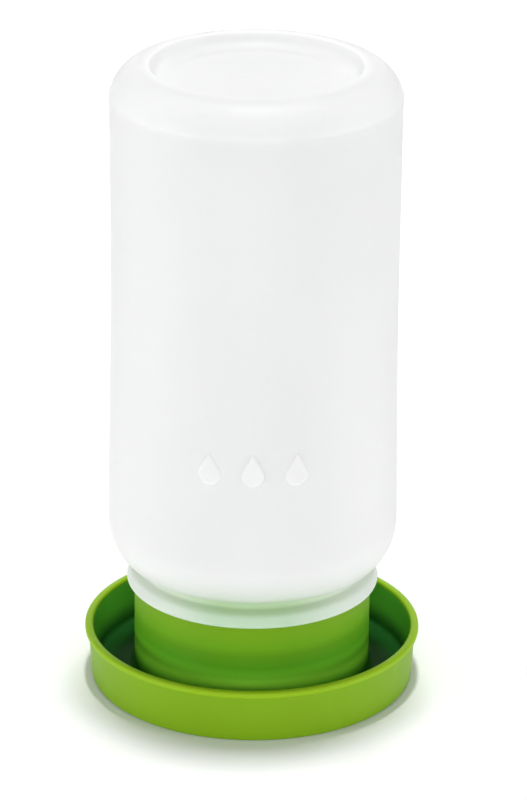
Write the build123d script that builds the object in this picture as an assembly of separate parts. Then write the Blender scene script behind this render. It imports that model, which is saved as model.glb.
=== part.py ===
from build123d import *
import math
import os

# Chick and quail water fount: a one-litre jar screwed upside down into a round drinking base.
# Units are millimetres.  +Z is up, the origin is the centre of the foot on the ground and the
# front faces -Y.  Three loose pieces: the drinking base (trough, collar and shelf in one
# moulding), the sealing washer on its shelf, and the blown jar.

# ---------------------------------------------------------------- drinking base: outside
FOOT_RADIUS = 52.2            # outside of the trough wall where it meets the ground
TROUGH_TOP_RADIUS = 53.3      # outside of the trough wall just under the rim lip
RIM_HEIGHT = 18.0             # ground to the top of the rim
LIP_OUT = 1.1                 # how far the rim lip stands out from the wall
LIP_HEIGHT = 2.1
BASE_WALL = 1.6               # trough wall, floor and riser
FOOT_RECESS = 0.8             # the floor is held this far off the ground
FOOT_WIDTH = 3.4              # width of the ring that stands on the ground
FOOT_EDGE = 1.2               # rounding where the wall turns under
TROUGH_CORNER = 1.8           # rounding between the trough floor and its walls

# ---------------------------------------------------------------- drinking base: collar
COLLAR_RADIUS = 38.3          # outside of the collar
COLLAR_WALL = 1.9
COLLAR_TOP = 33.3             # ground to the collar's top edge
COLLAR_EDGE = 0.5             # rounding of the collar's top edge
SHELF_HEIGHT = 11.8           # ground to the shelf that carries the washer
SHELF_WIDTH = 6.9             # collar's inner wall to the edge of the well

# ---------------------------------------------------------------- water ports
PORT_COUNT = 2                # one at the front and one at the back
PORT_WIDTH = 9.0
PORT_HEIGHT = 6.2             # the top of the port sets the water level
PORT_ROUND = 2.2

# ---------------------------------------------------------------- sealing washer
WASHER_THICKNESS = 2.0
WASHER_SIDE_GAP = 0.4         # washer to collar
WASHER_INSET = 0.7            # washer's hole beyond the edge of the well

# ---------------------------------------------------------------- screw thread
PITCH = 6.0
THREAD_TURNS = 1.25
THREAD_CLEARANCE = 0.3        # crest to opposite wall
THREAD_DEPTH = 1.3            # height of each ridge
MALE_ROOT_WIDTH, MALE_CREST_WIDTH = 3.4, 1.9
FEMALE_ROOT_WIDTH, FEMALE_CREST_WIDTH = 3.2, 1.7
THREAD_START_ABOVE_LIP = 4.2  # jar's lip to the middle of the lowest thread turn
THREAD_BITE = 0.4             # how far a ridge is rooted in its wall

# ---------------------------------------------------------------- jar
JAR_WALL = 1.2
JAR_HEIGHT = 208.3            # ground to the highest point of the jar
SHOULDER_BODY_RADIUS = 46.5   # widest, just above the shoulder
WAIST_RADIUS = 45.5           # the long wall draws in slightly at mid height
HEEL_BODY_RADIUS = 45.9       # where the wall turns into the heel
WAIST_ROUND = 1800.0
SHOULDER_OUT = 5.6            # the shoulder turns up in two bends: the lower one is this
SHOULDER_UP = 8.2             # far in from the wall, the upper one this far up
SHOULDER_LOW_ROUND = 6.5
SHOULDER_HIGH_ROUND = 18.0
HEEL_ROUND = 11.4
LIP_GAP = 0.2                 # jar's lip to the washer, closed by the rubber's give
RING_OVERHANG = 2.8           # blown ring's lower edge beyond the outside of the collar
RING_TAPER = 1.5              # the ring is this much narrower at its top
RING_HEIGHT = 4.1
RING_SLOPE = 1.4              # height of the slope from the ring's top into the groove
RING_EDGE = 0.9
RING_TOP_ROUND = 2.2
RING_GAP = 0.4                # ring's underside to the collar's edge
GROOVE_INSET = 1.3            # groove above the ring, in from the outside of the collar
GROOVE_HEIGHT = 2.8
RECESS_RADIUS = 33.6          # edge of the sunk panel in the end wall
RECESS_FLOOR_RADIUS = 31.2
RECESS_DEPTH = 4.5
RECESS_EDGE = 1.0             # rounding of the crest into the sunk panel
RECESS_CORNER = 1.8

# ---------------------------------------------------------------- raised drops on the jar
DROP_COUNT = 3
DROP_HEIGHT = 10.4
DROP_ROUND = 3.4
DROP_SPACING = 13.6
DROP_RELIEF = 0.5
DROP_MIDDLE = 90.6            # ground to the middle of the drops

# ---------------------------------------------------------------- sizes that follow
COLLAR_BORE = COLLAR_RADIUS - COLLAR_WALL
WELL_RADIUS = COLLAR_BORE - SHELF_WIDTH
FLOOR_TOP = FOOT_RECESS + BASE_WALL
LIP_Z = SHELF_HEIGHT + WASHER_THICKNESS + LIP_GAP
NECK_RADIUS = COLLAR_BORE - THREAD_CLEARANCE - THREAD_DEPTH
RING_RADIUS = COLLAR_RADIUS + RING_OVERHANG
RING_Z = COLLAR_TOP + RING_GAP
GROOVE_RADIUS = COLLAR_RADIUS - GROOVE_INSET
MALE_START_Z = LIP_Z + THREAD_START_ABOVE_LIP
FEMALE_START_Z = MALE_START_Z + PITCH / 2


def revolved(corners):
    """Solid of revolution about Z.  Corners are (radius, height, rounding), closed."""
    outline = FilletPolyline(
        [(r, 0, z) for r, z, _ in corners],
        radius=[rounding for _, _, rounding in corners],
        close=True,
    )
    return revolve(make_face(outline), Axis.Z, 360)


def moved_in(corners, inset):
    """Wall outline moved inwards by inset; its first and last corners stay on the axis."""
    lines = []
    for (r0, z0, _), (r1, z1, _) in zip(corners, corners[1:]):
        length = math.hypot(r1 - r0, z1 - z0)
        along = ((r1 - r0) / length, (z1 - z0) / length)
        start = (r0 - along[1] * inset, z0 + along[0] * inset)
        lines.append((start, along))
    moved = [(0, lines[0][0][1], 0)]
    for (start_a, a), (start_b, b), corner in zip(lines, lines[1:], corners[1:]):
        turn = a[0] * b[1] - a[1] * b[0]
        gap = (start_b[0] - start_a[0], start_b[1] - start_a[1])
        reach = (gap[0] * b[1] - gap[1] * b[0]) / turn
        rounding = corner[2] - inset if turn > 0 else corner[2] + inset
        point = (start_a[0] + a[0] * reach, start_a[1] + a[1] * reach)
        moved.append((*point, max(rounding, 0)))
    moved.append((0, lines[-1][0][1], 0))
    return moved


def upright(radius, low, high):
    """A plain cylinder on the Z axis between two heights."""
    body = Cylinder(radius, high - low, align=(Align.CENTER, Align.CENTER, Align.MIN))
    return Pos(0, 0, low) * body


def ridge(wall_radius, outwards, start_z, root_width, crest_width):
    """A right-hand helical ridge whose root is sunk a little into its wall."""
    side = 1 if outwards else -1
    root = wall_radius - side * THREAD_BITE
    crest = wall_radius + side * THREAD_DEPTH
    slope = (root_width - crest_width) / 2 / THREAD_DEPTH
    sunk_half = root_width / 2 + slope * THREAD_BITE
    corners = [
        (root, 0, start_z - sunk_half),
        (crest, 0, start_z - crest_width / 2),
        (crest, 0, start_z + crest_width / 2),
        (root, 0, start_z + sunk_half),
    ]
    section = make_face(Polyline(corners, close=True))
    path = Helix(PITCH, PITCH * THREAD_TURNS, wall_radius, center=(0, 0, start_z))
    return sweep(section, path, is_frenet=True)


# ================================================================ drinking base
def base_corners():
    """Half section of the base: foot, trough, collar, shelf and well, all one wall."""
    lip_bottom = RIM_HEIGHT - LIP_HEIGHT
    lean = (TROUGH_TOP_RADIUS - FOOT_RADIUS) / lip_bottom
    inner_top = TROUGH_TOP_RADIUS - BASE_WALL + lean * LIP_HEIGHT
    inner_foot = FOOT_RADIUS - BASE_WALL + lean * FLOOR_TOP
    foot_inner = FOOT_RADIUS - FOOT_WIDTH
    hollow_top = SHELF_HEIGHT - BASE_WALL
    lip_round = LIP_HEIGHT * 0.42
    return [
        (0, FOOT_RECESS, 0),
        (WELL_RADIUS + BASE_WALL, FOOT_RECESS, 0),
        (WELL_RADIUS + BASE_WALL, hollow_top, 0),
        (COLLAR_BORE, hollow_top, 0),
        (COLLAR_BORE, FOOT_RECESS, 0),
        (foot_inner - FOOT_RECESS, FOOT_RECESS, 0),
        (foot_inner, 0, 0),
        (FOOT_RADIUS, 0, FOOT_EDGE),
        (TROUGH_TOP_RADIUS, lip_bottom, 0),
        (TROUGH_TOP_RADIUS + LIP_OUT, lip_bottom, 0.5),
        (TROUGH_TOP_RADIUS + LIP_OUT, RIM_HEIGHT, lip_round),
        (inner_top, RIM_HEIGHT, lip_round),
        (inner_foot, FLOOR_TOP, TROUGH_CORNER),
        (COLLAR_RADIUS, FLOOR_TOP, TROUGH_CORNER),
        (COLLAR_RADIUS, COLLAR_TOP, COLLAR_EDGE),
        (COLLAR_BORE, COLLAR_TOP, COLLAR_EDGE),
        (COLLAR_BORE, SHELF_HEIGHT, 0),
        (WELL_RADIUS, SHELF_HEIGHT, 0),
        (WELL_RADIUS, FLOOR_TOP, 0),
        (0, FLOOR_TOP, 0),
    ]


def port_block():
    """Solid bridge under the shelf that a water port runs through."""
    inner = WELL_RADIUS + BASE_WALL / 2
    outer = COLLAR_RADIUS - COLLAR_WALL / 2
    height = SHELF_HEIGHT - BASE_WALL / 2 - FOOT_RECESS
    block = Box(
        PORT_WIDTH + 2 * BASE_WALL, outer - inner, height,
        align=(Align.CENTER, Align.MIN, Align.MIN),
    )
    return Pos(0, inner, FOOT_RECESS) * block


def port_hole():
    """A water port: a straight tunnel from the well to the trough, rounded at its top."""
    start = WELL_RADIUS - BASE_WALL
    end = COLLAR_RADIUS + TROUGH_CORNER + 0.5
    tunnel = Box(
        PORT_WIDTH, end - start, PORT_HEIGHT, align=(Align.CENTER, Align.MIN, Align.MIN)
    )
    upper = [e for e in tunnel.edges().filter_by(Axis.Y) if e.center().Z > PORT_HEIGHT / 2]
    return Pos(0, start, FLOOR_TOP) * fillet(upper, PORT_ROUND)


def make_base():
    base = revolved(base_corners())
    for n in range(PORT_COUNT):
        turn = Rot(0, 0, n * 360 / PORT_COUNT)
        base = base + turn * port_block() - turn * port_hole()
    thread = ridge(
        COLLAR_BORE, False, FEMALE_START_Z, FEMALE_ROOT_WIDTH, FEMALE_CREST_WIDTH
    )
    return base + thread


# ================================================================ sealing washer
def make_washer():
    low, high = SHELF_HEIGHT, SHELF_HEIGHT + WASHER_THICKNESS
    ring = upright(COLLAR_BORE - WASHER_SIDE_GAP, low, high)
    return ring - upright(WELL_RADIUS + WASHER_INSET, low, high)


# ================================================================ jar
def jar_corners():
    """Half outline of the jar's outside, from the mouth up to the sunk end panel."""
    ring_top = RING_Z + RING_HEIGHT
    groove_z = ring_top + RING_SLOPE
    shoulder_z = groove_z + GROOVE_HEIGHT
    waist_z = (shoulder_z + JAR_HEIGHT) / 2
    floor_z = JAR_HEIGHT - RECESS_DEPTH
    return [
        (0, LIP_Z, 0),
        (NECK_RADIUS, LIP_Z, 0.4),
        (NECK_RADIUS, RING_Z, 0),
        (RING_RADIUS, RING_Z, RING_EDGE),
        (RING_RADIUS - RING_TAPER, ring_top, RING_TOP_ROUND),
        (GROOVE_RADIUS, groove_z, 1.0),
        (GROOVE_RADIUS, shoulder_z, 0.3),
        (SHOULDER_BODY_RADIUS - SHOULDER_OUT, shoulder_z, SHOULDER_LOW_ROUND),
        (SHOULDER_BODY_RADIUS, shoulder_z + SHOULDER_UP, SHOULDER_HIGH_ROUND),
        (WAIST_RADIUS, waist_z, WAIST_ROUND),
        (HEEL_BODY_RADIUS, JAR_HEIGHT, HEEL_ROUND),
        (RECESS_RADIUS, JAR_HEIGHT, RECESS_EDGE),
        (RECESS_FLOOR_RADIUS, floor_z, RECESS_CORNER),
        (0, floor_z, 0),
    ]


def drop_prism(offset):
    """Drop shape, round end down, pushed out of the jar's axis towards the front."""
    centre = DROP_MIDDLE - DROP_HEIGHT / 2 + DROP_ROUND
    tip = DROP_MIDDLE + DROP_HEIGHT / 2
    touch = math.asin(DROP_ROUND / (tip - centre))
    side = DROP_ROUND * math.cos(touch)
    side_z = centre + DROP_ROUND * math.sin(touch)
    wire = Wire([
        ThreePointArc((-side, side_z), (0, centre - DROP_ROUND), (side, side_z)),
        Line((side, side_z), (0, tip)),
        Line((0, tip), (-side, side_z)),
    ])
    sketch = Plane.XZ * Pos(offset, 0) * make_face(wire)
    return extrude(sketch, SHOULDER_BODY_RADIUS + 5)


def make_drops():
    """Raised drops on the front, rooted half way into the jar's wall."""
    outer = [(r, z, 0) for r, z, _ in moved_in(jar_corners(), -DROP_RELIEF)]
    inner = [(r, z, 0) for r, z, _ in moved_in(jar_corners(), JAR_WALL / 2)]
    skin = revolved(outer) - revolved(inner)
    middle = (DROP_COUNT - 1) / 2
    offsets = [(n - middle) * DROP_SPACING for n in range(DROP_COUNT)]
    return [skin & drop_prism(offset) for offset in offsets]


def jar_inside():
    """Space inside the jar above its neck, and the bore of its neck."""
    bore = upright(NECK_RADIUS - JAR_WALL, LIP_Z - 1, RING_Z)
    return revolved(moved_in(jar_corners(), JAR_WALL)) + bore


def make_jar():
    jar = revolved(jar_corners()) - jar_inside()
    jar = jar + ridge(NECK_RADIUS, True, MALE_START_Z, MALE_ROOT_WIDTH, MALE_CREST_WIDTH)
    for drop in make_drops():
        jar = jar + drop
    return jar


# ================================================================ write the files
def main():
    os.makedirs("parts", exist_ok=True)
    pieces = {
        "drinking_base": make_base(),
        "sealing_washer": make_washer(),
        "fount_jar": make_jar(),
    }
    for name, shape in pieces.items():
        export_step(shape, f"parts/{name}.step")
    print("jar holds about", round(jar_inside().volume / 1e6, 2), "litres to the brim")


main()
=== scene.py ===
import math

import bpy
import numpy as np
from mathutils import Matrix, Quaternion, Vector


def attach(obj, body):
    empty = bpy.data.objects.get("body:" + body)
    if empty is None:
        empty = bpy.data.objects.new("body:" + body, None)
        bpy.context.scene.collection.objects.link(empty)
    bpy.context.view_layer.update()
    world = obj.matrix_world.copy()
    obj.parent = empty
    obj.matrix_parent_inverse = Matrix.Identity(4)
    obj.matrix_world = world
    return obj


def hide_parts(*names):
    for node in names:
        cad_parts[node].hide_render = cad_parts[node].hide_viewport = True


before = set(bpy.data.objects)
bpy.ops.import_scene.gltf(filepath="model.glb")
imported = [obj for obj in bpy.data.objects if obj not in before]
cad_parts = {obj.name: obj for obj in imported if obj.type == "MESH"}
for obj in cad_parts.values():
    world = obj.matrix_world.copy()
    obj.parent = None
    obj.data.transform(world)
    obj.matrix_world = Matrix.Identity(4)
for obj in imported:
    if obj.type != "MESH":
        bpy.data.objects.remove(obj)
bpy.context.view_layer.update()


# ------------------------------------------------------------------ drinking base
# The trough, its rim and foot, and the screw collar with its shelf are one injection
# moulding in opaque yellow-green polypropylene.  It has a satin skin, a gate stub under
# the middle of the foot and a run-in female thread inside the collar.

MM = 0.001
FOOT_RADIUS = 52.2
FOOT_RING_WIDTH = 3.4
WALL_TOP_RADIUS = 53.3
RIM_HEIGHT = 18.0
LIP_OUT = 1.1
LIP_HEIGHT = 2.1
LIP_ROUND = 0.9
BASE_WALL = 1.6
TROUGH_ROUND = 1.8
EDGE_ROUND = 0.5
FINE_ROUND = 0.3
GATE_RADIUS = 1.6
GATE_DROP = 0.5
FOOT_RECESS = 0.8
FLOOR_TOP = FOOT_RECESS + BASE_WALL
COLLAR_RADIUS = 38.3
COLLAR_BORE = 36.4
COLLAR_TOP = 33.3
SHELF_HEIGHT = 11.8
WELL_RADIUS = 29.5
PORT_WIDTH = 9.0
PORT_HEIGHT = 6.2
PORT_ROUND = 2.2
PORT_CUT_INWARD = 1.6
PORT_CUT_OUTWARD = 2.3
OFF_FACE = 0.02
PITCH = 6.0
THREAD_TURNS = 1.25
THREAD_DEPTH = 1.3
THREAD_FADE = 0.06
MALE_START = 18.2
FEMALE_START = MALE_START + PITCH / 2
FEMALE_ROOT = 3.2
FEMALE_CREST = 1.7
ARC_SPACING = 0.7
ARC_DEGREES = 11
BROAD_BEND = 100
BROAD_BEND_ROWS = 10
BASE_WAVES = ((2, 0.06, 0.7), (3, 0.03, 2.0))


def rounded_line(corners, step):
    """Points along straight runs and roundings through corners of (radius, height,
    rounding, row spacing of the run that follows); the spacing falls back to step."""
    points = []
    flat = [Vector((c[0], c[1])) for c in corners]
    for i, corner in enumerate(corners):
        here, rounding = flat[i], corner[2]
        if 0 < i < len(corners) - 1 and rounding > 0:
            back = (flat[i - 1] - here).normalized()
            on = (flat[i + 1] - here).normalized()
            half = math.acos(max(-1, min(1, back.dot(on)))) / 2
            reach = rounding / math.tan(half)
            middle = here + (back + on).normalized() * rounding / math.sin(half)
            start, end = here + back * reach, here + on * reach
            sweep = math.pi - 2 * half
            count = max(math.ceil(sweep / math.radians(ARC_DEGREES)),
                        math.ceil(sweep * rounding / ARC_SPACING))
            if rounding > BROAD_BEND:
                count = BROAD_BEND_ROWS
            a0 = math.atan2(*(start - middle).yx)
            a1 = math.atan2(*(end - middle).yx)
            turn = (a1 - a0 + math.pi) % (2 * math.pi) - math.pi
            bend = [
                middle + Vector((math.cos(a0 + turn * k / count),
                                 math.sin(a0 + turn * k / count))) * rounding
                for k in range(count + 1)
            ]
        else:
            bend = [here]
        if points:
            spacing = corners[i - 1][3] if len(corners[i - 1]) > 3 else step
            run = bend[0] - points[-1]
            pieces = max(1, math.ceil(run.length / spacing))
            points += [points[-1] + run * k / pieces for k in range(1, pieces)]
        points += bend
    return np.array([(p.x, p.y) for p in points])


def turned_mesh(name, line, angles, relief):
    """Closed mesh of revolution.  relief(angle, radius, height) gives how far each point
    is raised along the line's outward normal, in millimetres."""
    ahead = np.roll(line, -1, axis=0) - line
    ahead[-1] = ahead[-2]
    behind = line - np.roll(line, 1, axis=0)
    behind[0] = ahead[0]
    along = ahead / np.linalg.norm(ahead, axis=1, keepdims=True)
    along = along + behind / np.linalg.norm(behind, axis=1, keepdims=True)
    along = along / np.linalg.norm(along, axis=1, keepdims=True)
    normal = np.stack([along[:, 1], -along[:, 0]], axis=1)
    inner = slice(1, len(line) - 1)
    radius = line[inner, 0][:, None]
    height = line[inner, 1][:, None]
    angle = angles[None, :]
    raised = relief(angle, radius + 0 * angle, height + 0 * angle)
    r = radius + normal[inner, 0][:, None] * raised
    z = height + normal[inner, 1][:, None] * raised
    ring = np.stack([r * np.cos(angle), r * np.sin(angle), z], axis=2)
    rows, columns = ring.shape[:2]
    ends = np.array([[0, 0, line[0, 1]], [0, 0, line[-1, 1]]])
    vertices = np.concatenate([ring.reshape(-1, 3), ends]) * MM
    first, last = rows * columns, rows * columns + 1
    faces = []
    for c in range(columns):
        n = (c + 1) % columns
        faces.append((first, n, c))
        for row in range(rows - 1):
            low, high = row * columns, (row + 1) * columns
            faces.append((low + c, low + n, high + n, high + c))
        top = (rows - 1) * columns
        faces.append((top + c, top + n, last))
    mesh = bpy.data.meshes.new(name)
    mesh.from_pydata(vertices.tolist(), [], faces)
    mesh.update()
    return mesh


def smooth_step(low, high, value):
    t = np.clip((value - low) / (high - low), 0, 1)
    return t * t * (3 - 2 * t)


def thread_height(angle, height, start, root_width, crest_width):
    """Height of a right-hand thread ridge over its wall, fading out at both its ends."""
    tallest = np.zeros_like(angle * height)
    for lap in range(math.ceil(THREAD_TURNS)):
        turns = (angle % (2 * math.pi)) / (2 * math.pi) + lap
        off = np.abs(height - start - PITCH * turns)
        flank = (root_width - crest_width) / 2
        shape = np.clip((root_width / 2 - off) / flank, 0, 1)
        run_in = smooth_step(0, THREAD_FADE, turns)
        run_out = smooth_step(0, THREAD_FADE, THREAD_TURNS - turns)
        tallest = np.maximum(tallest, shape * run_in * run_out)
    return tallest * THREAD_DEPTH


def closed_piece(name, mesh):
    piece = bpy.data.objects.new(name, mesh)
    bpy.context.scene.collection.objects.link(piece)
    return piece


def settle(piece, sharp_degrees):
    """Applies the piece's modifiers and shades it smooth up to the given edge angle."""
    bpy.context.view_layer.update()
    graph = bpy.context.evaluated_depsgraph_get()
    solid = bpy.data.meshes.new_from_object(piece.evaluated_get(graph))
    piece.modifiers.clear()
    piece.data = solid
    solid.name = piece.name
    solid.polygons.foreach_set("use_smooth", [True] * len(solid.polygons))
    solid.set_sharp_from_angle(angle=math.radians(sharp_degrees))


lip_bottom = RIM_HEIGHT - LIP_HEIGHT
lean = (WALL_TOP_RADIUS - FOOT_RADIUS) / lip_bottom
inner_top = WALL_TOP_RADIUS - BASE_WALL + lean * LIP_HEIGHT
inner_foot = FOOT_RADIUS - BASE_WALL + lean * FLOOR_TOP
foot_inner = FOOT_RADIUS - FOOT_RING_WIDTH
hollow_top = SHELF_HEIGHT - BASE_WALL
base_line = rounded_line([
    (0, FOOT_RECESS - GATE_DROP, 0),
    (GATE_RADIUS, FOOT_RECESS - GATE_DROP, 0.2),
    (GATE_RADIUS + 0.4, FOOT_RECESS, FINE_ROUND, 6.0),
    (WELL_RADIUS + BASE_WALL, FOOT_RECESS, EDGE_ROUND),
    (WELL_RADIUS + BASE_WALL, hollow_top, EDGE_ROUND),
    (COLLAR_BORE, hollow_top, EDGE_ROUND),
    (COLLAR_BORE, FOOT_RECESS, EDGE_ROUND),
    (foot_inner - FOOT_RECESS, FOOT_RECESS, FINE_ROUND),
    (foot_inner, 0, FINE_ROUND),
    (FOOT_RADIUS, 0, 1.2),
    (WALL_TOP_RADIUS, lip_bottom, EDGE_ROUND),
    (WALL_TOP_RADIUS + LIP_OUT, lip_bottom, 0.6),
    (WALL_TOP_RADIUS + LIP_OUT, RIM_HEIGHT, LIP_ROUND),
    (inner_top, RIM_HEIGHT, LIP_ROUND),
    (inner_foot, FLOOR_TOP, TROUGH_ROUND),
    (COLLAR_RADIUS, FLOOR_TOP, TROUGH_ROUND),
    (COLLAR_RADIUS, COLLAR_TOP, 0.6),
    (COLLAR_BORE, COLLAR_TOP, 0.6, 0.35),
    (COLLAR_BORE, SHELF_HEIGHT, FINE_ROUND),
    (WELL_RADIUS, SHELF_HEIGHT, 0.6),
    (WELL_RADIUS, FLOOR_TOP, 1.2, 5.0),
    (0, FLOOR_TOP, 0),
], step=2.0)


def base_relief(angle, radius, height):
    """Female thread in the collar and the slight unevenness that moulding leaves."""
    in_bore = (np.abs(radius - COLLAR_BORE) < 0.2) & (height > SHELF_HEIGHT + 0.5)
    thread = thread_height(angle, height, FEMALE_START, FEMALE_ROOT, FEMALE_CREST)
    warp = sum(rise * np.sin(waves * angle + start) for waves, rise, start in BASE_WAVES)
    loose = (radius > COLLAR_RADIUS + 1) & (height > FLOOR_TOP + 4)
    outward = np.where(radius > inner_top + 0.8, 1, -1)
    return np.where(in_bore, thread, 0) + np.where(loose, warp * outward * height / 60, 0)


base_angles = np.linspace(0, 2 * math.pi, 216, endpoint=False)
base_moulding = closed_piece(
    "base_moulding", turned_mesh("base_moulding", base_line, base_angles, base_relief)
)


def rounded_block(name, width, low, high, y0, y1, round_top):
    """Closed straight bar along Y, with its two upper long edges rounded."""
    half = width / 2
    section = [(-half, low), (half, low)]
    if round_top > 0:
        for side, first in ((1, 0), (-1, 90)):
            for k in range(7):
                a = math.radians(first + 15 * k)
                section.append((side * (half - round_top) + round_top * math.cos(a),
                                high - round_top + round_top * math.sin(a)))
    else:
        section += [(half, high), (-half, high)]
    count = len(section)
    vertices = [(x * MM, y * MM, z * MM) for y in (y0, y1) for x, z in section]
    faces = [tuple(range(count)), tuple(range(2 * count - 1, count - 1, -1))]
    for k in range(count):
        n = (k + 1) % count
        faces.append((k, k + count, n + count, n))
    mesh = bpy.data.meshes.new(name)
    mesh.from_pydata(vertices, [], faces)
    mesh.update()
    return mesh


def shape_with(piece, mesh, operation):
    """Joins a closed mesh to the piece, or cuts it away."""
    tool = closed_piece(mesh.name, mesh)
    step = piece.modifiers.new(mesh.name, "BOOLEAN")
    step.operation = operation
    step.solver = "EXACT"
    step.object = tool
    settle(piece, 32)
    bpy.data.objects.remove(tool)


bridge_in = WELL_RADIUS + BASE_WALL / 2
bridge_out = (COLLAR_RADIUS + COLLAR_BORE) / 2
for side, facing in ((-1, "front"), (1, "back")):
    near, far = sorted((side * bridge_in, side * bridge_out))
    shape_with(base_moulding, rounded_block(
        f"port_bridge_{facing}", PORT_WIDTH + 2 * BASE_WALL, FOOT_RECESS + OFF_FACE,
        SHELF_HEIGHT - BASE_WALL / 2, near, far, 0), "UNION")
    near, far = sorted((side * (WELL_RADIUS - PORT_CUT_INWARD),
                        side * (COLLAR_RADIUS + PORT_CUT_OUTWARD)))
    shape_with(base_moulding, rounded_block(
        f"port_tunnel_{facing}", PORT_WIDTH, FLOOR_TOP + OFF_FACE,
        FLOOR_TOP + PORT_HEIGHT, near, far, PORT_ROUND), "DIFFERENCE")


def socket(group, name, kind, into, value=None):
    made = group.interface.new_socket(
        name=name, in_out="INPUT" if into else "OUTPUT", socket_type="NodeSocket" + kind
    )
    if value is not None:
        made.default_value = value
    return made


def node(tree, kind, **settings):
    """A shader node with its properties, and its inputs given as sockets or values."""
    made = tree.nodes.new("ShaderNode" + kind)
    wired = settings.pop("wired", {})
    for key, value in settings.items():
        setattr(made, key, value)
    for key, value in wired.items():
        if isinstance(value, bpy.types.NodeSocket):
            tree.links.new(value, made.inputs[key])
        else:
            made.inputs[key].default_value = value
    return made


# The skin of a moulded plastic: soft mottle, fine grain from the mould, and light scuffs
skin = bpy.data.node_groups.new("moulded_skin", "ShaderNodeTree")
socket(skin, "Grain Scale", "Float", True, 900.0)
socket(skin, "Mottle Scale", "Float", True, 40.0)
socket(skin, "Scuff Amount", "Float", True, 0.3)
socket(skin, "Mottle", "Float", False)
socket(skin, "Grain", "Float", False)
socket(skin, "Scuffs", "Float", False)
skin_in = skin.nodes.new("NodeGroupInput")
skin_out = skin.nodes.new("NodeGroupOutput")
skin_place = node(skin, "TexCoord").outputs["Object"]
mottle = node(skin, "TexNoise", wired={
    "Vector": skin_place, "Scale": skin_in.outputs["Mottle Scale"],
    "Detail": 3.0, "Roughness": 0.55})
grain = node(skin, "TexNoise", wired={
    "Vector": skin_place, "Scale": skin_in.outputs["Grain Scale"],
    "Detail": 2.0, "Roughness": 0.6})
long_place = node(skin, "Mapping", wired={"Vector": skin_place, "Scale": (1, 1, 0.25)})
scratch = node(skin, "TexNoise", wired={
    "Vector": long_place.outputs[0], "Scale": 220.0, "Detail": 5.0, "Roughness": 0.7})
patches = node(skin, "TexNoise", wired={"Vector": skin_place, "Scale": 28.0, "Detail": 2.0})
scratch_line = node(skin, "MapRange", wired={
    "Value": scratch.outputs["Fac"], "From Min": 0.56, "From Max": 0.72})
patch_mask = node(skin, "MapRange", wired={
    "Value": patches.outputs["Fac"], "From Min": 0.45, "From Max": 0.7})
scuff_here = node(skin, "Math", operation="MULTIPLY", wired={
    0: scratch_line.outputs[0], 1: patch_mask.outputs[0]})
scuff_all = node(skin, "Math", operation="MULTIPLY", wired={
    0: scuff_here.outputs[0], 1: skin_in.outputs["Scuff Amount"]})
skin.links.new(mottle.outputs["Fac"], skin_out.inputs["Mottle"])
skin.links.new(grain.outputs["Fac"], skin_out.inputs["Grain"])
skin.links.new(scuff_all.outputs[0], skin_out.inputs["Scuffs"])

# Where a point lies on a turned piece: its distance from the axis and its coordinates
turned_place = bpy.data.node_groups.new("turned_place", "ShaderNodeTree")
for measure in ("Radius", "X", "Y", "Z"):
    socket(turned_place, measure, "Float", False)
place_out = turned_place.nodes.new("NodeGroupOutput")
here = node(turned_place, "TexCoord").outputs["Object"]
parts = node(turned_place, "SeparateXYZ", wired={"Vector": here})
level = node(turned_place, "CombineXYZ", wired={
    "X": parts.outputs["X"], "Y": parts.outputs["Y"], "Z": 0.0})
off_axis = node(turned_place, "VectorMath", operation="LENGTH", wired={0: level.outputs[0]})
turned_place.links.new(off_axis.outputs["Value"], place_out.inputs["Radius"])
for axis in "XYZ":
    turned_place.links.new(parts.outputs[axis], place_out.inputs[axis])


def new_material(name):
    made = bpy.data.materials.new(name)
    made.use_nodes = True
    made.node_tree.nodes.clear()
    return made, made.node_tree


def put_skin(tree, grain_scale, mottle_scale, scuffs):
    placed = tree.nodes.new("ShaderNodeGroup")
    placed.node_tree = skin
    placed.inputs["Grain Scale"].default_value = grain_scale
    placed.inputs["Mottle Scale"].default_value = mottle_scale
    placed.inputs["Scuff Amount"].default_value = scuffs
    return placed


def put_place(tree):
    placed = tree.nodes.new("ShaderNodeGroup")
    placed.node_tree = turned_place
    return placed.outputs


def band(tree, value, start, end, eased=False, most=1.0):
    """A mask that goes from 0 at start to most at end, both in millimetres; start may be
    the larger of the two."""
    low, high = sorted((start, end))
    rising = start < end
    made = node(
        tree, "MapRange", interpolation_type="SMOOTHSTEP" if eased else "LINEAR", wired={
            "Value": value, "From Min": low * MM, "From Max": high * MM,
            "To Min": 0.0 if rising else most, "To Max": most if rising else 0.0})
    return made.outputs[0]


def overlap(tree, *masks):
    """The product of masks."""
    product = masks[0]
    for mask in masks[1:]:
        product = node(
            tree, "Math", operation="MULTIPLY", wired={0: product, 1: mask}).outputs[0]
    return product


def colour_steps(tree, up, steps):
    """Colour ramp along Z through steps of (height in millimetres, colour)."""
    low, high = steps[0][0], steps[-1][0]
    ramp = node(tree, "ValToRGB", wired={"Fac": band(tree, up, low, high)})
    for k, (height, colour) in enumerate(steps):
        at = (height - low) / (high - low)
        stops = ramp.color_ramp.elements
        stop = stops[k] if k < 2 else stops.new(at)
        stop.position = at
        stop.color = (*colour, 1)
    return ramp.outputs["Color"]


BASE_GREEN = (0.202, 0.387, 0.005, 1)
BASE_GREEN_DEEP = (0.185, 0.363, 0.004, 1)
BASE_SCUFF = (0.31, 0.48, 0.04, 1)
# Painted light: the rim's lip is coloured a lighter green than the rest of the moulding
RIM_PAINTED_LIGHT = (0.265, 0.465, 0.005, 1)
# Painted light and shade in the back of the trough: a brighter, more saturated green on its
# inner wall and a near-black green on its floor
TROUGH_WALL_PAINTED_LIGHT = (0.12, 0.50, 0.04, 1)
TROUGH_FLOOR_PAINTED_SHADE = (0.007, 0.085, 0.008, 1)
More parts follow.
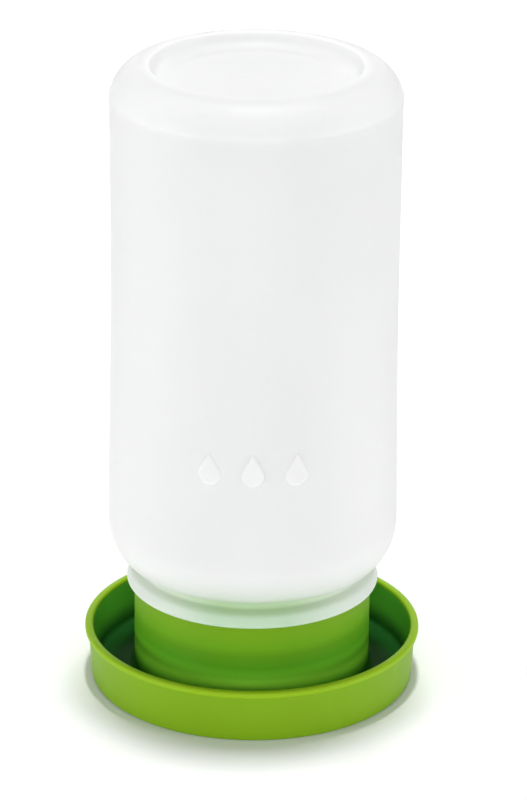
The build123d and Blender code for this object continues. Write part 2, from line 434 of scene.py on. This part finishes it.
# By height up the collar: deep shade at its foot, then light thrown back by the rim
COLLAR_TINTS = (
    (2.0, (0.02, 0.13, 0.012)),
    (6.0, (0.06, 0.26, 0.02)),
    (10.8, (0.40, 0.96, 0.07)),
    (12.5, (0.40, 0.94, 0.06)),
    (15.0, (0.185, 0.57, 0.026)),
    (18.7, (0.098, 0.365, 0.009)),
    (22.8, (0.115, 0.335, 0.006)),
    (25.6, (0.150, 0.39, 0.005)),
    (30.0, (0.165, 0.37, 0.003)),
    (33.4, (0.160, 0.335, 0.003)),
)
green_plastic, tree = new_material("green_polypropylene")
base_skin = put_skin(tree, 1400.0, 45.0, 0.35)
tone = node(tree, "Mix", data_type="RGBA", wired={
    0: base_skin.outputs["Mottle"], 6: BASE_GREEN_DEEP, 7: BASE_GREEN})
scuffed = node(tree, "Mix", data_type="RGBA", wired={
    0: base_skin.outputs["Scuffs"], 6: tone.outputs[2], 7: BASE_SCUFF})
place = put_place(tree)
collar_green = colour_steps(tree, place["Z"], COLLAR_TINTS)
outside_collar = band(tree, place["Radius"], 37.5, 38.2)
inside_wall = band(tree, place["Radius"], 52.1, 51.9)
below_rim = band(tree, place["Z"], 17.5, 16.5)
# Painted light and shade in the trough, fading out towards its front
back_from_front = band(tree, place["Y"], -42, -18, eased=True)
trough_back_painted_light_and_shade = overlap(tree, outside_collar, inside_wall, below_rim, back_from_front)
# Painted light on the rim's lip
rim_painted_light_mask = overlap(
    tree, band(tree, place["Z"], 15.9, 16.4), band(tree, place["Radius"], 50, 51))
trough_wall_painted_light_mask = overlap(tree, trough_back_painted_light_and_shade, band(tree, place["Radius"], 40, 44))
trough_floor_painted_shade_mask = overlap(tree, trough_back_painted_light_and_shade, band(tree, place["Z"], 11, 3, eased=True))
collar_mask = overlap(tree, outside_collar, band(tree, place["Radius"], 40, 38.4))
green = scuffed
for mask, colour in ((rim_painted_light_mask, RIM_PAINTED_LIGHT), (trough_wall_painted_light_mask, TROUGH_WALL_PAINTED_LIGHT),
                     (trough_floor_painted_shade_mask, TROUGH_FLOOR_PAINTED_SHADE), (collar_mask, collar_green)):
    green = node(tree, "Mix", data_type="RGBA", wired={
        0: mask, 6: green.outputs[2], 7: colour})
rough = node(tree, "MapRange", wired={
    "Value": base_skin.outputs["Mottle"], "To Min": 0.42, "To Max": 0.54})
bump = node(tree, "Bump", wired={
    "Height": base_skin.outputs["Grain"], "Strength": 0.22, "Distance": 0.00012})
shader = node(tree, "BsdfPrincipled", wired={
    "Base Color": green.outputs[2], "Roughness": rough.outputs[0],
    "Normal": bump.outputs[0], "IOR": 1.49, "Specular IOR Level": 0.2})
node(tree, "OutputMaterial", wired={"Surface": shader.outputs[0]})

base_moulding.data.materials.clear()
base_moulding.data.materials.append(green_plastic)
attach(base_moulding, "base")
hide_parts("drinking_base")


# ------------------------------------------------------------------ sealing washer
# A flat ring cut from black sealing rubber, lying loose on the shelf in the collar.
# The jar's lip presses a shallow ring into its upper face.

WASHER_LOW = SHELF_HEIGHT
WASHER_HIGH = 13.8
WASHER_OUTER = COLLAR_BORE - 0.4
WASHER_HOLE = WELL_RADIUS + 0.7
WASHER_ROUND = 0.25
LIP_DENT_RADIUS = 34.2
LIP_DENT_WIDTH = 0.7
LIP_DENT_DEPTH = 0.12


def ring_mesh(name, line, angles, relief):
    """Closed ring turned from a closed line that doesn't meet the axis."""
    r, z = line[:, 0][:, None], line[:, 1][:, None]
    angle = angles[None, :]
    z = z + relief(angle, r, z)
    ring = np.stack([r * np.cos(angle), r * np.sin(angle), z + 0 * angle], axis=2)
    rows, columns = ring.shape[:2]
    faces = []
    for row in range(rows):
        above = (row + 1) % rows
        for c in range(columns):
            n = (c + 1) % columns
            faces.append((row * columns + c, row * columns + n,
                          above * columns + n, above * columns + c))
    mesh = bpy.data.meshes.new(name)
    mesh.from_pydata((ring.reshape(-1, 3) * MM).tolist(), [], faces)
    mesh.update()
    return mesh


washer_middle = (WASHER_OUTER + WASHER_HOLE) / 2
washer_line = rounded_line([
    (washer_middle, WASHER_LOW, 0),
    (WASHER_OUTER, WASHER_LOW, WASHER_ROUND),
    (WASHER_OUTER, WASHER_HIGH, WASHER_ROUND),
    (WASHER_HOLE, WASHER_HIGH, WASHER_ROUND),
    (WASHER_HOLE, WASHER_LOW, WASHER_ROUND),
    (washer_middle - 0.3, WASHER_LOW, 0),
], step=0.45)


def washer_relief(angle, radius, height):
    """The dent that the lip has left, on the upper face only."""
    on_top = height > WASHER_HIGH - 0.1
    dent = np.exp(-((radius - LIP_DENT_RADIUS) / LIP_DENT_WIDTH) ** 2)
    ripple = 0.16 * np.sin(5 * angle) + 0.12 * np.sin(11 * angle + 1)
    return np.where(on_top, -LIP_DENT_DEPTH * dent * (1 + ripple), 0)


washer_ring = closed_piece("washer_ring", ring_mesh(
    "washer_ring", washer_line, np.linspace(0, 2 * math.pi, 192, endpoint=False),
    washer_relief))
settle(washer_ring, 40)

RUBBER_DARK = (0.016, 0.016, 0.017, 1)
RUBBER_BLOOM = (0.055, 0.056, 0.058, 1)
black_rubber, tree = new_material("sealing_rubber")
rubber_skin = put_skin(tree, 2600.0, 160.0, 0.5)
bloom = node(tree, "Mix", data_type="RGBA", wired={
    0: rubber_skin.outputs["Mottle"], 6: RUBBER_DARK, 7: RUBBER_BLOOM})
rough = node(tree, "MapRange", wired={
    "Value": rubber_skin.outputs["Grain"], "To Min": 0.62, "To Max": 0.82})
bump = node(tree, "Bump", wired={
    "Height": rubber_skin.outputs["Grain"], "Strength": 0.5, "Distance": 0.0001})
shader = node(tree, "BsdfPrincipled", wired={
    "Base Color": bloom.outputs[2], "Roughness": rough.outputs[0],
    "Normal": bump.outputs[0], "IOR": 1.52})
node(tree, "OutputMaterial", wired={"Surface": shader.outputs[0]})
washer_ring.data.materials.append(black_rubber)
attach(washer_ring, "seal")
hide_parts("sealing_washer")


# ------------------------------------------------------------------ jar
# The jar is blown from natural, milky polyethylene and stands on its mouth.  The mould
# leaves a seam up each side, a faint ring at its end insert and a pinched weld across
# the sunk end panel.  Three drops are raised on the front.

JAR_WALL = 1.2
JAR_HEIGHT = 208.3
LIP_Z = WASHER_HIGH + 0.2
NECK_RADIUS = 34.8
MALE_ROOT = 3.4
MALE_CREST = 1.9
RING_RADIUS = 41.1
RING_TOP_RADIUS = 39.6
RING_LOW = 33.7
RING_HIGH = 37.8
GROOVE_LOW = 39.2
SHOULDER_LOW = 42.0
SHOULDER_HIGH = 50.2
SHOULDER_TURN_RADIUS = 40.9
SHOULDER_BODY_RADIUS = 46.5
WAIST_RADIUS = 45.5
HEEL_BODY_RADIUS = 45.9
GROOVE_RADIUS = 37.0
RECESS_RADIUS = 33.6
RECESS_FLOOR_RADIUS = 31.2
RECESS_DEPTH = 4.5
PANEL_ROUND = 5.5
HEEL_ROUND = 11.4
WAIST_BEND = 1800
SHOULDER_HIGH_ROUND = 18.0
SHOULDER_LOW_ROUND = 6.5
RING_TOP_ROUND = 2.2
HEEL_INNER_ROUND = 10.1
SHOULDER_HIGH_INNER_ROUND = 16.8
SHOULDER_LOW_INNER_ROUND = 5.3
RING_INNER_RADIUS = 39.55
RING_INNER_TOP_RADIUS = 38.45
RING_INNER_TOP = 37.05
GROOVE_INNER_LOW = 38.48
SHOULDER_INNER_SHIFT = 0.64
DROP_ROUND = 3.4
DROP_HEIGHT = 10.4
DROP_SPACING = 13.6
DROP_MIDDLE = 90.6
DROP_RELIEF = 0.5
DROP_TIP_ROUND = 0.15
FINE_ROWS_REACH = 7
SEAM_RELIEF = 0.10
SEAM_WIDTH = 0.35
INSERT_RING_Z = 198.6
INSERT_RING_RELIEF = 0.3
INSERT_RING_WIDTH = 0.7
WELD_RELIEF = 0.15
WELD_WIDTH = 0.6
WELD_REACH = (19, 23)
BODY_WAVES = ((2, 0.09, 1.1, 0.021), (3, 0.06, 0.4, -0.034), (5, 0.04, 0.0, 0.05))
WAIST_Z = (SHOULDER_LOW + JAR_HEIGHT) / 2
PANEL_Z = JAR_HEIGHT - RECESS_DEPTH

recess_slant = math.hypot(RECESS_RADIUS - RECESS_FLOOR_RADIUS, RECESS_DEPTH)
recess_shift = JAR_WALL * (recess_slant - RECESS_RADIUS + RECESS_FLOOR_RADIUS) / RECESS_DEPTH
drop_low = DROP_MIDDLE - FINE_ROWS_REACH
drop_high = DROP_MIDDLE + FINE_ROWS_REACH


def wall_radius(height):
    """Radius of the body's straight run between its shoulder and its waist."""
    share = (height - SHOULDER_HIGH) / (WAIST_Z - SHOULDER_HIGH)
    return SHOULDER_BODY_RADIUS + (WAIST_RADIUS - SHOULDER_BODY_RADIUS) * share


inside_line = rounded_line([
    (0, PANEL_Z - JAR_WALL, 0, 6.0),
    (RECESS_FLOOR_RADIUS + recess_shift, PANEL_Z - JAR_WALL, 3.0),
    (RECESS_RADIUS + recess_shift, JAR_HEIGHT - JAR_WALL, 0.1),
    (HEEL_BODY_RADIUS - JAR_WALL, JAR_HEIGHT - JAR_WALL, HEEL_INNER_ROUND, 7.0),
    (WAIST_RADIUS - JAR_WALL, WAIST_Z, WAIST_BEND, 7.0),
    (SHOULDER_BODY_RADIUS - JAR_WALL, SHOULDER_HIGH + 0.4, SHOULDER_HIGH_INNER_ROUND),
    (SHOULDER_TURN_RADIUS - SHOULDER_INNER_SHIFT, SHOULDER_LOW + JAR_WALL,
     SHOULDER_LOW_INNER_ROUND),
    (GROOVE_RADIUS - JAR_WALL, SHOULDER_LOW + JAR_WALL, 1.4),
    (GROOVE_RADIUS - JAR_WALL, GROOVE_INNER_LOW, 2.0),
    (RING_INNER_TOP_RADIUS, RING_INNER_TOP, 0.8),
    (RING_INNER_RADIUS, RING_LOW + JAR_WALL, 0.3),
    (NECK_RADIUS - JAR_WALL, RING_LOW + JAR_WALL, 1.2, 4.0),
    (NECK_RADIUS - JAR_WALL, LIP_Z + 1.4, 0),
], step=2.0)
outside_line = rounded_line([
    (NECK_RADIUS - JAR_WALL, LIP_Z + 0.8, 0),
    (NECK_RADIUS - JAR_WALL, LIP_Z, 0.35, 0.5),
    (NECK_RADIUS, LIP_Z, 0.4, 0.35),
    (NECK_RADIUS, RING_LOW, 0.5),
    (RING_RADIUS, RING_LOW, 0.9, 0.8),
    (RING_TOP_RADIUS, RING_HIGH, RING_TOP_ROUND, 0.6),
    (GROOVE_RADIUS, GROOVE_LOW, 1.0, 0.6),
    (GROOVE_RADIUS, SHOULDER_LOW, 0.3),
    (SHOULDER_TURN_RADIUS, SHOULDER_LOW, SHOULDER_LOW_ROUND),
    (SHOULDER_BODY_RADIUS, SHOULDER_HIGH, SHOULDER_HIGH_ROUND, 3.0),
    (wall_radius(drop_low), drop_low, 0, 0.3),
    (wall_radius(drop_high), drop_high, 0, 3.0),
    (WAIST_RADIUS, WAIST_Z, WAIST_BEND, 3.0),
    (HEEL_BODY_RADIUS, JAR_HEIGHT, HEEL_ROUND),
    (RECESS_RADIUS, JAR_HEIGHT, 1.0, 0.6),
    (RECESS_FLOOR_RADIUS, PANEL_Z, PANEL_ROUND, 1.2),
    (0, PANEL_Z, 0),
], step=1.2)
jar_line = np.concatenate([inside_line, outside_line])
row_is_outside = (np.arange(1, len(jar_line) - 1) >= len(inside_line))[:, None]


def drop_distance(across, up):
    """Signed distance to a drop's outline, from the middle of its round end."""
    reach = DROP_HEIGHT - DROP_ROUND
    slope = (DROP_ROUND - DROP_TIP_ROUND) / reach
    rise = math.sqrt(1 - slope * slope)
    along = -slope * np.abs(across) + rise * up
    low = np.hypot(across, up) - DROP_ROUND
    tip = np.hypot(across, up - reach) - DROP_TIP_ROUND
    side = np.abs(across) * rise + up * slope - DROP_ROUND
    return np.where(along < 0, low, np.where(along > rise * reach, tip, side))


def jar_relief(angle, radius, height):
    """Everything raised on the jar's outside: thread, seams, insert ring, drops."""
    neck = (np.abs(radius - NECK_RADIUS) < 0.1) & (height < RING_LOW - 0.6)
    thread = thread_height(angle, height, MALE_START, MALE_ROOT, MALE_CREST)
    raised = np.where(neck, thread, 0)
    aside = np.abs(radius * np.sin(angle))
    on_wall = (radius > 35.5) & (height > RING_LOW + 1)
    seam = SEAM_RELIEF * np.exp(-(aside / SEAM_WIDTH) ** 2)
    raised = raised + np.where(on_wall, seam, 0)
    on_heel = (radius > 38) & (height > 190)
    ring = INSERT_RING_RELIEF * np.exp(-((height - INSERT_RING_Z) / INSERT_RING_WIDTH) ** 2)
    raised = raised + np.where(on_heel, ring, 0)
    on_panel = (height > PANEL_Z - 0.1) & (radius < 26)
    weld = WELD_RELIEF * np.exp(-(aside / WELD_WIDTH) ** 2)
    weld = weld * (1 - smooth_step(*WELD_REACH, radius))
    raised = raised + np.where(on_panel, weld, 0)
    across = radius * np.cos(angle)
    up = height - (DROP_MIDDLE - DROP_HEIGHT / 2 + DROP_ROUND)
    for place in (-1, 0, 1):
        gap = drop_distance(across - place * DROP_SPACING, up)
        drop = DROP_RELIEF * (1 - smooth_step(-0.35, 0.2, gap))
        raised = raised + np.where((np.sin(angle) < 0) & (radius > 44), drop, 0)
    body = smooth_step(50, 62, height) * (1 - smooth_step(184, 197, height))
    uneven = sum(rise * np.sin(waves * angle + start + twist * height)
                 for waves, rise, start, twist in BODY_WAVES)
    return np.where(row_is_outside, raised + body * uneven, 0)


# Narrow columns, in degrees, under the drops and on both seams, and wide ones between
fine = [np.arange(270 - 29, 270 + 29, 0.3), np.arange(-2.4, 2.41, 0.3),
        np.arange(177.6, 182.41, 0.3)]
coarse = np.arange(4, 360, 2.0)
coarse = coarse[(np.abs(coarse - 270) > 30) & (np.abs(coarse - 180) > 3.5)
                & (coarse < 357)]
jar_angles = np.radians(np.sort(np.concatenate(fine + [coarse])))
blown_jar = closed_piece(
    "blown_jar", turned_mesh("blown_jar", jar_line, jar_angles, jar_relief)
)
settle(blown_jar, 50)

MILK_WHITE = (0.872, 0.876, 0.866, 1)
MILK_SHADE = (0.848, 0.854, 0.842, 1)
# Painted shade: factors that darken the heel and the far corner of the sunk end panel
HEEL_PAINTED_SHADE = (0.90, 0.90, 0.90, 1)
PANEL_EDGE_PAINTED_SHADE = (0.89, 0.89, 0.89, 1)
# By height up the neck: painted green light from the base showing through the milky wall,
# and painted shade in the groove under the shoulder
NECK_PAINTED_LIGHT_AND_SHADE = (
    (33.0, (0.62, 0.82, 0.60)),
    (37.0, (0.61, 0.82, 0.60)),
    (39.0, (0.52, 0.70, 0.43)),
    (42.0, (0.54, 0.74, 0.46)),
    (45.5, (0.84, 0.92, 0.82)),
    (54.0, (1.0, 1.0, 1.0)),
)
milky_plastic, tree = new_material("milky_polyethylene")
jar_skin = put_skin(tree, 1100.0, 24.0, 0.25)
tone = node(tree, "Mix", data_type="RGBA", wired={
    0: jar_skin.outputs["Mottle"], 6: MILK_SHADE, 7: MILK_WHITE})
place = put_place(tree)
neck_painted_light_and_shade = colour_steps(tree, place["Z"], NECK_PAINTED_LIGHT_AND_SHADE)
# Painted light: the painted green fades towards the neck's left and right, so its sides come
# out lighter
aside = node(tree, "Math", operation="ABSOLUTE", wired={0: place["X"]})
neck_painted_light_faded_at_sides = node(tree, "Mix", data_type="RGBA", wired={
    0: band(tree, aside.outputs[0], 10, 34, most=0.6), 6: neck_painted_light_and_shade, 7: (1, 1, 1, 1)})
milk_with_painted_neck_light = node(tree, "Mix", data_type="RGBA", blend_type="MULTIPLY", wired={
    0: 1.0, 6: tone.outputs[2], 7: neck_painted_light_faded_at_sides.outputs[2]})
# Painted shade on the heel and on the far corner of the sunk end panel
up_heel = band(tree, place["Z"], 198.5, 207, eased=True)
heel_painted_shade_mask = overlap(tree, band(tree, place["Radius"], 33.5, 37.5, eased=True), up_heel)
panel_painted_shade_mask = overlap(
    tree, band(tree, place["Radius"], 24.5, 28.5, eased=True),
    band(tree, place["Radius"], 33, 30, eased=True), up_heel,
    band(tree, place["Y"], 4, 24, eased=True))
heel_painted_shade = node(tree, "Mix", data_type="RGBA", wired={
    0: heel_painted_shade_mask, 6: (1, 1, 1, 1), 7: HEEL_PAINTED_SHADE})
heel_and_panel_painted_shade = node(tree, "Mix", data_type="RGBA", wired={
    0: panel_painted_shade_mask, 6: heel_painted_shade.outputs[2], 7: PANEL_EDGE_PAINTED_SHADE})
milky = node(tree, "Mix", data_type="RGBA", blend_type="MULTIPLY", wired={
    0: 1.0, 6: milk_with_painted_neck_light.outputs[2], 7: heel_and_panel_painted_shade.outputs[2]})
rough = node(tree, "MapRange", wired={
    "Value": jar_skin.outputs["Mottle"], "To Min": 0.40, "To Max": 0.50})
scuff_rough = node(tree, "Math", operation="ADD", wired={
    0: rough.outputs[0], 1: jar_skin.outputs["Scuffs"]})
bump = node(tree, "Bump", wired={
    "Height": jar_skin.outputs["Grain"], "Strength": 0.15, "Distance": 0.0001})
shader = node(tree, "BsdfPrincipled", wired={
    "Base Color": milky.outputs[2], "Roughness": scuff_rough.outputs[0],
    "Normal": bump.outputs[0], "IOR": 1.51, "Specular IOR Level": 0.18,
    "Subsurface Weight": 0.5, "Subsurface Radius": (1.0, 1.0, 0.9),
    "Subsurface Scale": 0.004})
node(tree, "OutputMaterial", wired={"Surface": shader.outputs[0]})
blown_jar.data.materials.append(milky_plastic)
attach(blown_jar, "jar")
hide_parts("fount_jar")


# ------------------------------------------------------------------ floor
# A flat sheet of matt white studio board that the fount stands on, wide enough to fill
# the view behind it.

board_mesh = bpy.data.meshes.new("studio_floor")
board_mesh.from_pydata([(-6, -4, 0), (6, -4, 0), (6, 8, 0), (-6, 8, 0)], [], [(0, 1, 2, 3)])
studio_floor = closed_piece("studio_floor", board_mesh)
white_board, tree = new_material("white_board")
board_skin = put_skin(tree, 300.0, 3.0, 0.0)
tone = node(tree, "Mix", data_type="RGBA", wired={
    0: board_skin.outputs["Mottle"], 6: (0.94, 0.942, 0.945, 1), 7: (0.96, 0.96, 0.96, 1)})
shader = node(tree, "BsdfPrincipled", wired={
    "Base Color": tone.outputs[2], "Roughness": 0.9, "Specular IOR Level": 0.1})
node(tree, "OutputMaterial", wired={"Surface": shader.outputs[0]})
board_mesh.materials.append(white_board)


# ------------------------------------------------------------------ light and camera
# A dim white room with a small softbox high above, broad ones low at both sides, in front
# and behind, one that whitens the far floor, and two small lamps that pick out the heel.

room = bpy.data.worlds.new("white_room")
room.use_nodes = True
backdrop = room.node_tree.nodes["Background"]
backdrop.inputs["Color"].default_value = (1, 1, 1, 1)
backdrop.inputs["Strength"].default_value = 0.17
bpy.context.scene.world = room


def softbox(name, place, target, size, power, spread=180):
    """A rectangular lamp aimed at target; places and sizes in metres, power in watts."""
    lamp = bpy.data.lights.new(name, "AREA")
    lamp.shape = "RECTANGLE"
    lamp.size, lamp.size_y = size
    lamp.energy = power
    lamp.spread = math.radians(spread)
    holder = bpy.data.objects.new(name, lamp)
    holder.location = place
    aim = Vector(target) - Vector(place)
    holder.rotation_euler = aim.to_track_quat("-Z", "Y").to_euler()
    bpy.context.scene.collection.objects.link(holder)


softbox("top_softbox", (0.02, 0.15, 2.0), (0, 0.02, 0), (0.22, 0.18), 24.5)
softbox("left_softbox", (-1.9, -0.8, 0.30), (0, 0, 0.12), (0.8, 0.5), 18.0)
softbox("right_softbox", (1.9, -0.8, 0.30), (0, 0, 0.12), (0.8, 0.5), 16.0)
softbox("front_softbox", (0.0, -2.1, 0.80), (0, 0, 0.12), (1.0, 0.4), 12.5)
softbox("back_softbox", (0.0, 2.0, 0.6), (0, 0, 0.1), (1.4, 0.7), 5.0)
softbox("far_floor_softbox", (0.0, 1.7, 1.3), (0, 0.95, 0), (1.6, 0.3), 6.0, spread=45)
softbox("left_highlight", (-0.45, 0.25, 1.25), (0, 0, 0.19), (0.22, 0.22), 0.8)
softbox("right_highlight", (0.45, 0.25, 1.25), (0, 0, 0.19), (0.22, 0.22), 0.7)

lens = bpy.data.cameras.new("view")
lens.sensor_width = 36.0
lens.lens = 189.72
lens.shift_x = 0.0122
camera = bpy.data.objects.new("view", lens)
bpy.context.scene.collection.objects.link(camera)
camera.location = (0.0, -1.2457, 0.6113)
camera.rotation_mode = "QUATERNION"
looking_down = math.radians(22.49)
ahead = Vector((0, math.cos(looking_down), -math.sin(looking_down)))
own_axis = Vector((0, 0, 1))
camera.rotation_quaternion = (
    ahead.to_track_quat("-Z", "Y") @ Quaternion(own_axis, math.radians(0.5)))
bpy.context.scene.camera = camera
bpy.context.scene.view_settings.view_transform = "Standard"
